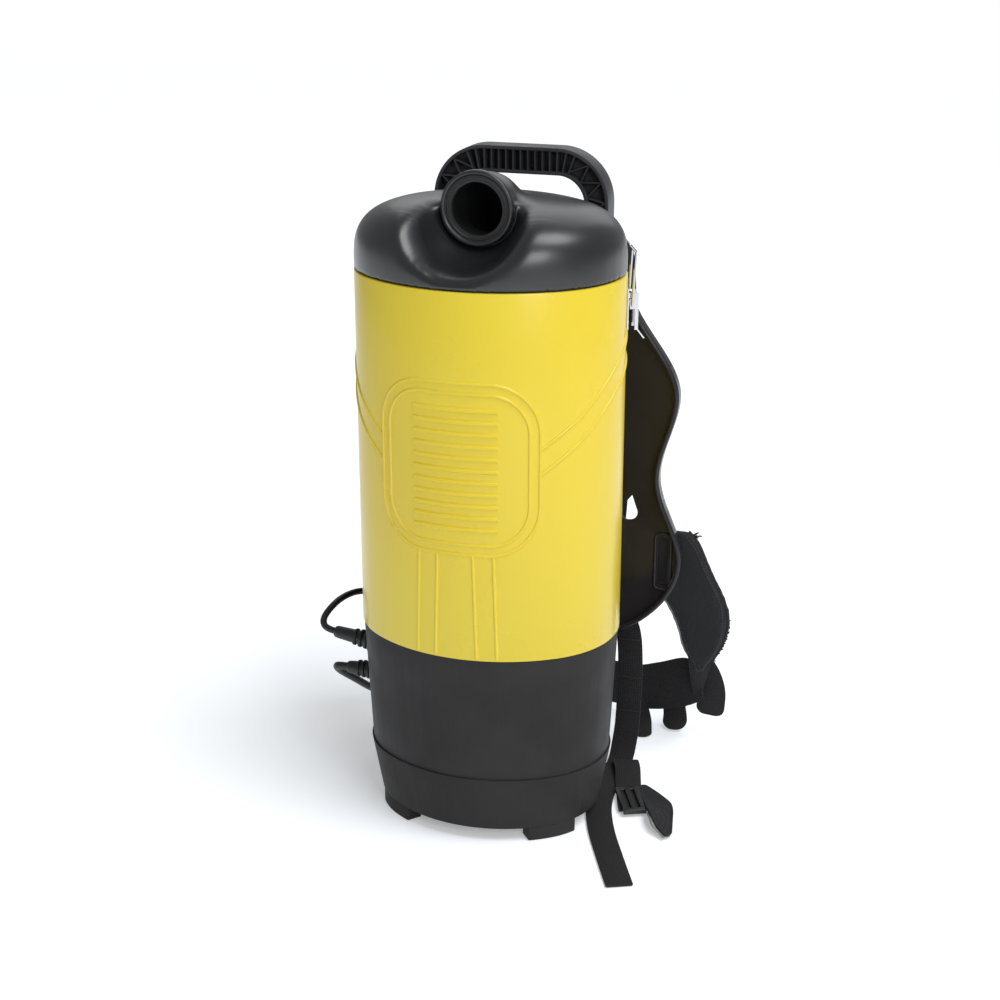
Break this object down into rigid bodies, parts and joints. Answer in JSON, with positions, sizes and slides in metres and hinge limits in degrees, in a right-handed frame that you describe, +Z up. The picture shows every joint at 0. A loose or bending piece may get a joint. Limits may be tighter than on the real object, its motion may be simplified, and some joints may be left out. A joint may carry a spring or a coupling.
{
  "type": "backpack vacuum cleaner",
  "caption": "Backpack vacuum with oval canister, domed lid and suction port, motor base, moulded back plate, carry handle, shoulder pads, waist belt and short leads.",
  "frame": {"origin": "On the floor, on the vertical axis of the oval body", "axes": "+Z up along the body, -Y to the front, where the suction port opens, +Y to the back plate and the wearer, +X to the right seen from the front"},
  "size_m": [0.3733, 0.3538, 0.607],
  "materials": {
    "yellow_shell": "gloss",
    "charcoal_gloss": "satin gloss",
    "charcoal_shell": "fine texture",
    "dark_base": "fine texture",
    "black_plate": "gloss",
    "black_handle": "satin",
    "black_moulding": "satin",
    "rocker_red": "satin",
    "rubber": "matt",
    "cord_sheath": "satin",
    "bag_paper": "matt",
    "filter_cloth": "woven",
    "bright_steel": "polished",
    "plain_steel": "zinc plated",
    "brass": "polished",
    "carbon": "matt",
    "pad_fabric": "woven nylon over foam",
    "webbing": "woven"
  },
  "bodies": {
    "shell": {"canister_sleeve": "yellow_shell", "filter_bag": "bag_paper", "bag_collar": "bag_paper", "cloth_filter": "filter_cloth", "filter_ring": "black_moulding", "motor_deck": "black_moulding", "motor_prefilter": "filter_cloth", "motor_housing": "charcoal_shell", "fan_case": "black_moulding", "motor_stator": "plain_steel", "motor_bearings": "plain_steel", "brush_holders": "black_moulding", "carbon_brushes": "carbon", "motor_mounts": "rubber", "exhaust_filter": "filter_cloth", "base_ring": "dark_base", "base_feet": "dark_base", "base_screws": "plain_steel", "strain_relief_switch": "black_moulding", "strain_relief_power": "black_moulding", "switch_cord": "cord_sheath", "power_cord": "cord_sheath", "plug_body": "cord_sheath", "plug_pins": "brass", "switch_box": "black_moulding", "latch_base_left": "bright_steel", "latch_base_right": "bright_steel", "latch_pins": "bright_steel", "latch_rivets": "bright_steel", "backplate": "black_plate", "plate_spacers": "black_moulding", "plate_screws": "plain_steel", "carry_handle": "black_handle", "lumbar_pad": "pad_fabric", "shoulder_pad_left": "pad_fabric", "shoulder_pad_right": "pad_fabric", "webbing_left": "webbing", "webbing_right": "webbing", "ladder_lock_left": "black_moulding", "ladder_lock_right": "black_moulding", "strap_tab_left": "webbing", "strap_tab_right": "webbing", "belt_pad_left": "pad_fabric", "belt_pad_right": "pad_fabric", "belt_strap_left": "webbing", "belt_strap_right": "webbing", "buckle_socket": "black_moulding"},
    "lid": {"dome_lid": "charcoal_gloss", "inlet_elbow": "black_moulding", "inlet_gasket": "rubber", "lid_seal": "rubber"},
    "rotor": {"motor_shaft": "plain_steel", "armature": "plain_steel", "impeller": "plain_steel"},
    "lever_right": {"latch_lever_right": "bright_steel"},
    "lever_left": {"latch_lever_left": "bright_steel"},
    "bail_right": {"latch_bail_right": "bright_steel"},
    "bail_left": {"latch_bail_left": "bright_steel"},
    "rocker": {"rocker_switch": "rocker_red"},
    "buckle": {"buckle_insert": "black_moulding"}
  },
  "joints": [
    {"name": "lid_lift", "type": "slide", "parent": "shell", "child": "lid", "axis": [0, 0, 1], "range_m": [0, 0.018]},
    {"name": "rotor_spin", "type": "hinge", "parent": "shell", "child": "rotor", "pos_m": [0, 0, 0.13], "axis": [0, 0, 1], "continuous": true},
    {"name": "lever_right_turn", "type": "hinge", "parent": "shell", "child": "lever_right", "pos_m": [0.11824, 0.0384, 0.492], "axis": [0.4067, -0.9135, 0], "range_deg": [0, 150]},
    {"name": "bail_right_turn", "type": "hinge", "parent": "lever_right", "child": "bail_right", "pos_m": [0.11623, 0.0375, 0.484], "axis": [0.4067, -0.9135, 0], "range_deg": [-230, 0]},
    {"name": "lever_left_turn", "type": "hinge", "parent": "shell", "child": "lever_left", "pos_m": [-0.11824, 0.0384, 0.492], "axis": [0.4067, 0.9135, 0], "range_deg": [0, 150]},
    {"name": "bail_left_turn", "type": "hinge", "parent": "lever_left", "child": "bail_left", "pos_m": [-0.11623, 0.0375, 0.484], "axis": [0.4067, 0.9135, 0], "range_deg": [-230, 0]},
    {"name": "rocker_tilt", "type": "hinge", "parent": "shell", "child": "rocker", "pos_m": [-0.146, 0.116, 0.13], "axis": [1, 0, 0], "range_deg": [-7, 7]},
    {"name": "buckle_pull", "type": "slide", "parent": "shell", "child": "buckle", "axis": [-1, 0, 0], "range_m": [0, 0.03], "deforming": ["belt_strap_left"]}
  ],
  "couplings": [
    {"joint": "lever_right_turn", "follows": "lid_lift", "rad_per_m": 145.44},
    {"joint": "bail_right_turn", "follows": "lid_lift", "rad_per_m": -223.01},
    {"joint": "lever_left_turn", "follows": "lid_lift", "rad_per_m": 145.44},
    {"joint": "bail_left_turn", "follows": "lid_lift", "rad_per_m": -223.01}
  ]
}
